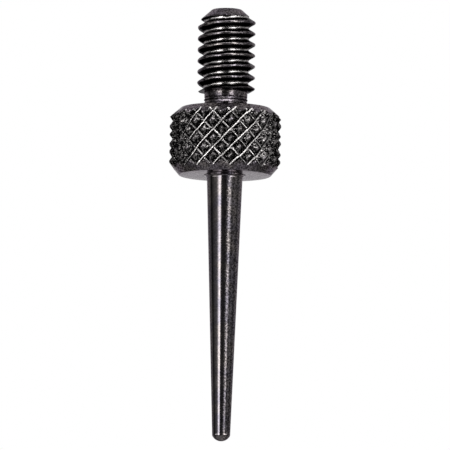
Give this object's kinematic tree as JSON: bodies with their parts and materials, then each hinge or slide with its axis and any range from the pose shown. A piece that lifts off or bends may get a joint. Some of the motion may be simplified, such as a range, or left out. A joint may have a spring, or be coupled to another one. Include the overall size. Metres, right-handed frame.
{
  "type": "dial indicator contact point",
  "caption": "Screw-in taper contact point for a dial indicator: fine-pitch threaded stem, diamond-knurled collar and a slender tapered pin with a rounded tip.",
  "frame": {"origin": "the pin's tip, at its lowest point on the part's axis", "axes": "+Z from the tip along the axis to the threaded stem's end; X and Y are square to it, and -Y is the side shown in the reference view"},
  "size_m": [0.0054, 0.0054, 0.0207],
  "materials": {
    "oxide_body": "black oxide over turned and knurled steel, lightly oiled",
    "oxide_pin": "black oxide over hardened steel, polished along its length"
  },
  "bodies": {
    "root": {"knurled_body": "oxide_body", "taper_pin": "oxide_pin"}
  },
  "joints": []
}
